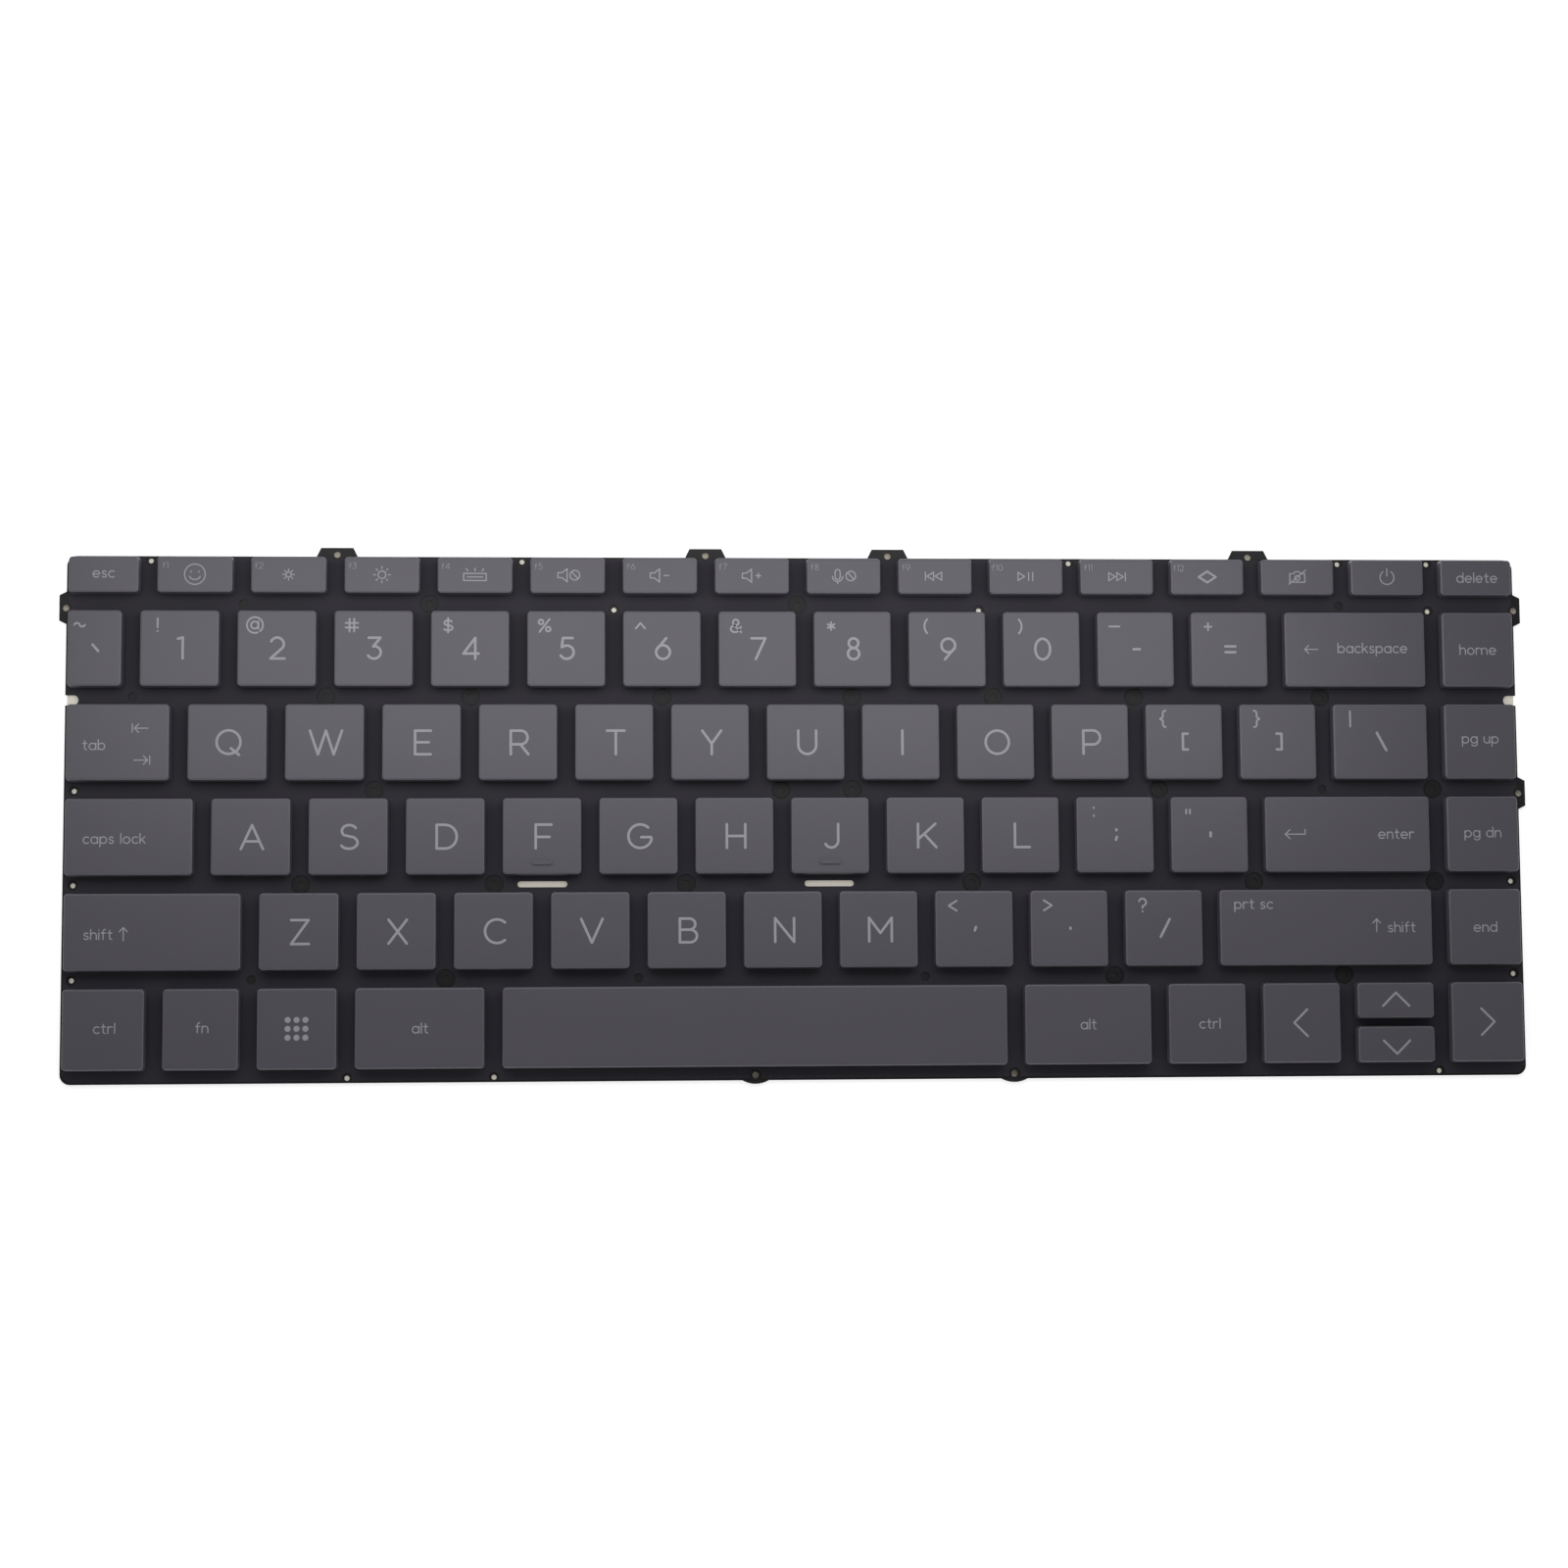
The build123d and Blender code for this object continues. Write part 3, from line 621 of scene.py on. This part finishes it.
def smooth_runs(stroke):
    """A stroke cut at its sharp corners, where round ends meet."""
    runs = [[stroke[0]]]
    for before, here, after in zip(stroke, stroke[1:], stroke[2:]):
        runs[-1].append(here)
        turn = (math.atan2(after[1] - here[1], after[0] - here[0])
                - math.atan2(here[1] - before[1], here[0] - before[0]))
        if abs(math.remainder(turn, 2 * math.pi)) > math.radians(SHARP_TURN):
            runs.append([here])
    runs[-1].append(stroke[-1])
    return runs


def ribbon(run, width):
    """The flat outline of a line of that width, as points and faces. Its ends are round, or meet."""
    half = width / 2
    is_ring = math.dist(run[0], run[-1]) < RING_CLOSE
    run = run[:-1] if is_ring else run
    count = len(run)
    points = [None] * 2 * count
    for i, (x, y) in enumerate(run):
        before = run[i - 1] if is_ring or i else run[i]
        after = run[(i + 1) % count] if is_ring or i + 1 < count else run[i]
        way = math.atan2(after[1] - before[1], after[0] - before[0])
        points[i] = (x - half * math.sin(way), y + half * math.cos(way))
        points[count + i] = (x + half * math.sin(way), y - half * math.cos(way))
    nexts = [(i, (i + 1) % count) for i in range(count if is_ring else count - 1)]
    faces = [[i, count + i, count + j, j] for i, j in nexts]
    if not is_ring:
        for end, near, sides in ((0, 1, (0, count)), (-1, -2, (2 * count - 1, count - 1))):
            way = math.degrees(math.atan2(run[end][1] - run[near][1], run[end][0] - run[near][0]))
            tip = arc(*run[end], half, half, way - 90, way + 90)[1:-1]
            faces.append([sides[0]] + [len(points) + i for i in range(len(tip))] + [sides[1]])
            points += tip
    return points, faces


def prism(points, faces, low, high):
    """Flat faces made into a closed body between two levels."""
    count = len(points)
    solid = [(x, y, level) for level in (low, high) for x, y in points]
    edges = {(a, b) for face in faces for a, b in zip(face, face[1:] + face[:1])}
    sides = [[a, b, count + b, count + a] for a, b in edges if (b, a) not in edges]
    return solid, [face[::-1] for face in faces] + [[count + i for i in face] for face in faces] + sides


def mark_mesh(keys, caps):
    """One mesh of all the marks on some keys, a hair proud of their caps. Each stroke is a touch
    higher than the one before it, because two tops on one level would shade each other."""
    points, faces = [], []
    for key in keys:
        left, right, front, back = caps[key]
        x, y = middle_of(caps[key])
        top = cap_top + MARK_RISE
        for strokes, dx, dy, width in legend(key, right - left):
            for stroke in moved(strokes, x + dx, y + dy):
                for run in smooth_runs(stroke):
                    top += STROKE_STEP
                    solid, sides = prism(*ribbon(run, width), cap_top - MARK_SINK, top)
                    faces += [[len(points) + corner for corner in side] for side in sides]
                    points += [(px * MM, py * MM, pz * MM) for px, py, pz in solid]
    mesh = bpy.data.meshes.new("legend")
    mesh.from_pydata(points, [], faces)
    return mesh


def build_legends(caps):
    """A legend on every key but the blank space bar; the upper rows share one piece."""
    fixed = [key for key in caps if f"key_{key}" not in cap_names]
    new_piece("legends_upper_rows", mark_mesh(fixed, caps), "frame", [etched])
    for name in cap_names:
        key = name.removeprefix("key_")
        if key != "space":
            new_piece(f"legend_{key}", mark_mesh([key], caps), name, [etched])


def build_stage():
    """A round white sweep, floor and walls, white in the picture but for the keyboard's shadow."""
    material, tree = new_material("white_paper_sweep")
    matte = add(tree, "ShaderNodeBsdfDiffuse", {"Color": linear(SWEEP_WHITE)})
    path = add(tree, "ShaderNodeLightPath", {}).outputs
    seen = add(tree, "ShaderNodeMath", {0: path["Is Camera Ray"], 1: path["Is Glossy Ray"]},
               operation="MAXIMUM")
    seen = add(tree, "ShaderNodeMath", {0: seen.outputs["Value"], 1: path["Is Transmission Ray"]},
               operation="MAXIMUM")
    strength = add(tree, "ShaderNodeMath", {0: seen.outputs["Value"], 1: SWEEP_GLOW}, operation="MULTIPLY")
    glow = add(tree, "ShaderNodeEmission", {"Strength": strength.outputs["Value"]})
    both = add(tree, "ShaderNodeAddShader", {0: matte.outputs["BSDF"], 1: glow.outputs["Emission"]})
    add(tree, "ShaderNodeOutputMaterial", {"Surface": both.outputs["Shader"]})
    cove = [(x, y + COVE_RADIUS) for x, y in arc(FLOOR_RADIUS, 0, COVE_RADIUS, COVE_RADIUS, -90, 0)]
    profile = cove + [(FLOOR_RADIUS + COVE_RADIUS, WALL_HEIGHT)]
    turns = [math.radians(angle) for angle in range(0, 360, ARC_STEP)]
    points = [(r * math.cos(a), r * math.sin(a), z - FLOOR_DROP) for r, z in profile for a in turns]
    count = len(turns)
    faces = [list(range(count))]
    for ring_start in range(0, len(points) - count, count):
        faces += [[ring_start + count + i, ring_start + count + (i + 1) % count,
                   ring_start + (i + 1) % count, ring_start + i] for i in range(count)]
    mesh = bpy.data.meshes.new("sweep")
    mesh.from_pydata(points, [], faces)
    mesh.polygons.foreach_set("use_smooth", [len(face) == 4 for face in faces])
    mesh.materials.append(material)
    sweep = bpy.data.objects.new("sweep", mesh)
    bpy.context.scene.collection.objects.link(sweep)


def ear_holes():
    """The places of the ears' holes, from the mounts in the record."""
    places = []
    for mount in frame["record"]["mounts"]:
        x, y, z = mount["pos_m"]
        half = mount["dims"].get("spacing_x_mm", 0) / 2 * MM
        if mount["kind"] == "bolt_pattern":
            places += [(x - half, y), (x + half, y)]
        if mount["kind"] == "bore":
            places.append((x, y))
    return places


def build_cards():
    """A dot of cream card on the floor under each ear hole, so that the white floor doesn't shine through: a
    sheet of painted shade, put where the floor under the keyboard lies only in shade.
    """
    material, tree = new_material("hole_shade_card")
    close(tree, Base_Color=linear(HOLE_SHADE_CREAM), Roughness=0.8)
    points, faces = [], []
    for x, y in ear_holes():
        dot = arc(x, y, CARD_RADIUS, CARD_RADIUS, 0, 360)[:-1]
        faces.append(range(len(points), len(points) + len(dot)))
        points += [(px, py, -FLOOR_DROP / 2) for px, py in dot]
    mesh = bpy.data.meshes.new("cards")
    mesh.from_pydata(points, [], faces)
    mesh.materials.append(material)
    cards = bpy.data.objects.new("cards", mesh)
    bpy.context.scene.collection.objects.link(cards)


def build_light():
    """A soft long lamp low over the function row, so the keys darken towards the space bar."""
    world = bpy.data.worlds.new("studio")
    bpy.context.scene.world = world
    world.use_nodes = True
    sky = world.node_tree.nodes["Background"].inputs
    sky["Color"].default_value = (1, 1, 1, 1)
    sky["Strength"].default_value = SKY_STRENGTH
    lamp = bpy.data.lights.new("long_lamp", "AREA")
    lamp.shape = "RECTANGLE"
    lamp.size, lamp.size_y = LAMP_SIZE
    lamp.energy = LAMP_POWER
    holder = bpy.data.objects.new("long_lamp", lamp)
    holder.location = LAMP_PLACE
    holder.visible_camera = False
    bpy.context.scene.collection.objects.link(holder)


def build_camera():
    """Nearly straight above, over the left half of the space bar, as in the photograph."""
    lens = bpy.data.cameras.new("camera")
    lens.lens = LENS_LENGTH
    lens.sensor_width = SENSOR_WIDTH
    camera = bpy.data.objects.new("camera", lens)
    camera.location = CAMERA_PLACE
    camera.rotation_euler = [math.radians(angle) for angle in CAMERA_TURN]
    bpy.context.scene.collection.objects.link(camera)
    bpy.context.scene.camera = camera


finish_nodes()
caps = find_caps()
build_switches(caps)
build_legends(caps)
build_stage()
build_cards()
build_light()
build_camera()
bpy.context.scene.view_settings.view_transform = "Standard"
